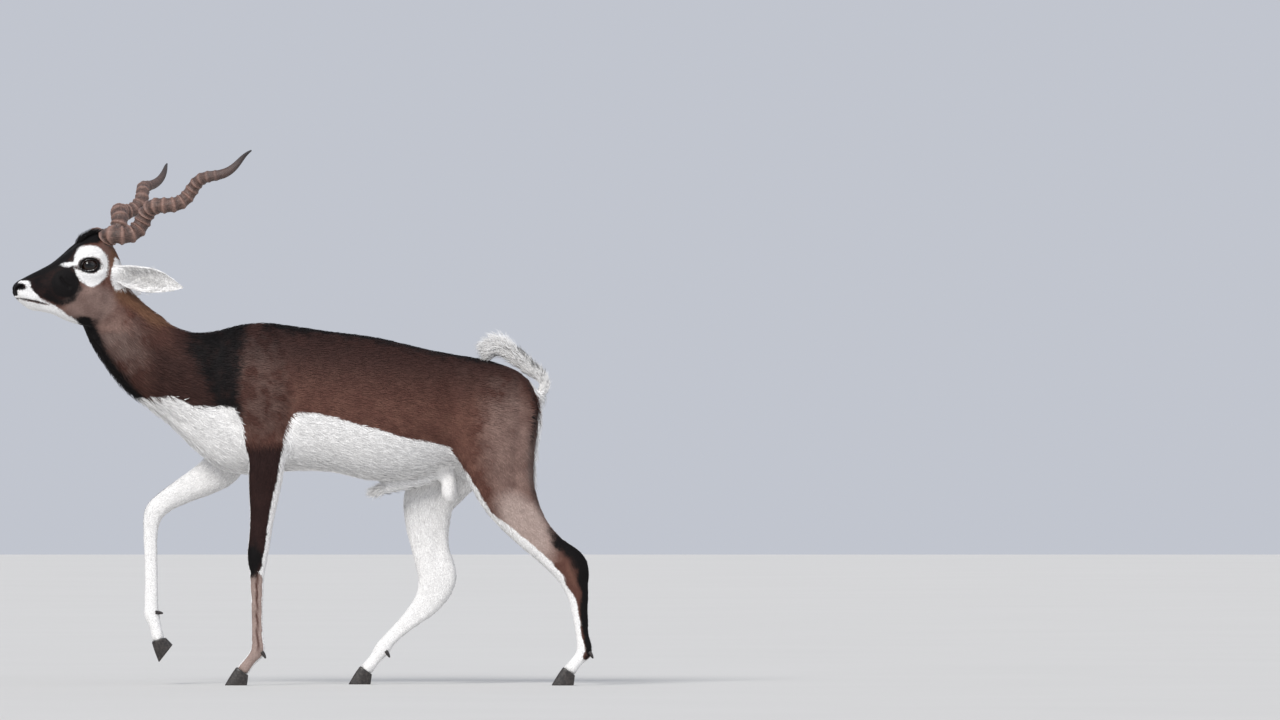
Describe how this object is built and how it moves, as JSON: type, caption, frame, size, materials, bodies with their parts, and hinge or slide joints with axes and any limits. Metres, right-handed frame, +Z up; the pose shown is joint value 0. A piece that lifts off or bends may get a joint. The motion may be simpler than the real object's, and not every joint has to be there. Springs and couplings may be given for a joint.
{
  "type": "blackbuck figure",
  "caption": "Life-size walking blackbuck buck with ringed spiral horns, white belly and face marks, raised tail and one forefoot lifted.",
  "frame": {"origin": "on the floor, under the middle of the model's box", "axes": "+Z up from the floor, -X the way the buck walks, -Y the buck's left side"},
  "size_m": [1.247, 0.4282, 1.1453],
  "materials": {
    "brown_coat": "short dark reddish brown coat, matt with a faint sheen",
    "dark_neck": "short greyish black-brown coat, matt",
    "dark_face": "very short black-brown coat of the face, matt",
    "white_coat": "short white coat, matt",
    "grey_haunch": "short grey-brown coat, matt",
    "horn": "dry ringed horn, satin on the ridges",
    "hoof": "dark hoof horn, satin",
    "eye": "dark wet eye, high gloss",
    "bare_skin": "grey bare skin, matt"
  },
  "bodies": {
    "root": {"torso": "brown_coat", "neck": "dark_neck", "head": "dark_face", "ear_left": "white_coat", "eye_left": "eye", "horn_left": "horn", "ear_right": "white_coat", "eye_right": "eye", "horn_right": "horn", "tail": "white_coat", "sheath": "white_coat", "scrotum": "bare_skin", "shoulder_left": "brown_coat", "forearm_left": "dark_neck", "fore_cannon_left": "white_coat", "fore_pastern_left": "white_coat", "fore_hoof_left_outer": "hoof", "fore_hoof_left_inner": "hoof", "shoulder_right": "brown_coat", "forearm_right": "dark_neck", "fore_cannon_right": "white_coat", "fore_pastern_right": "white_coat", "fore_hoof_right_outer": "hoof", "fore_hoof_right_inner": "hoof", "haunch_left": "grey_haunch", "shank_left": "grey_haunch", "hind_cannon_left": "white_coat", "hind_pastern_left": "white_coat", "hind_hoof_left_outer": "hoof", "hind_hoof_left_inner": "hoof", "haunch_right": "grey_haunch", "shank_right": "grey_haunch", "hind_cannon_right": "white_coat", "hind_pastern_right": "white_coat", "hind_hoof_right_outer": "hoof", "hind_hoof_right_inner": "hoof"}
  },
  "joints": []
}
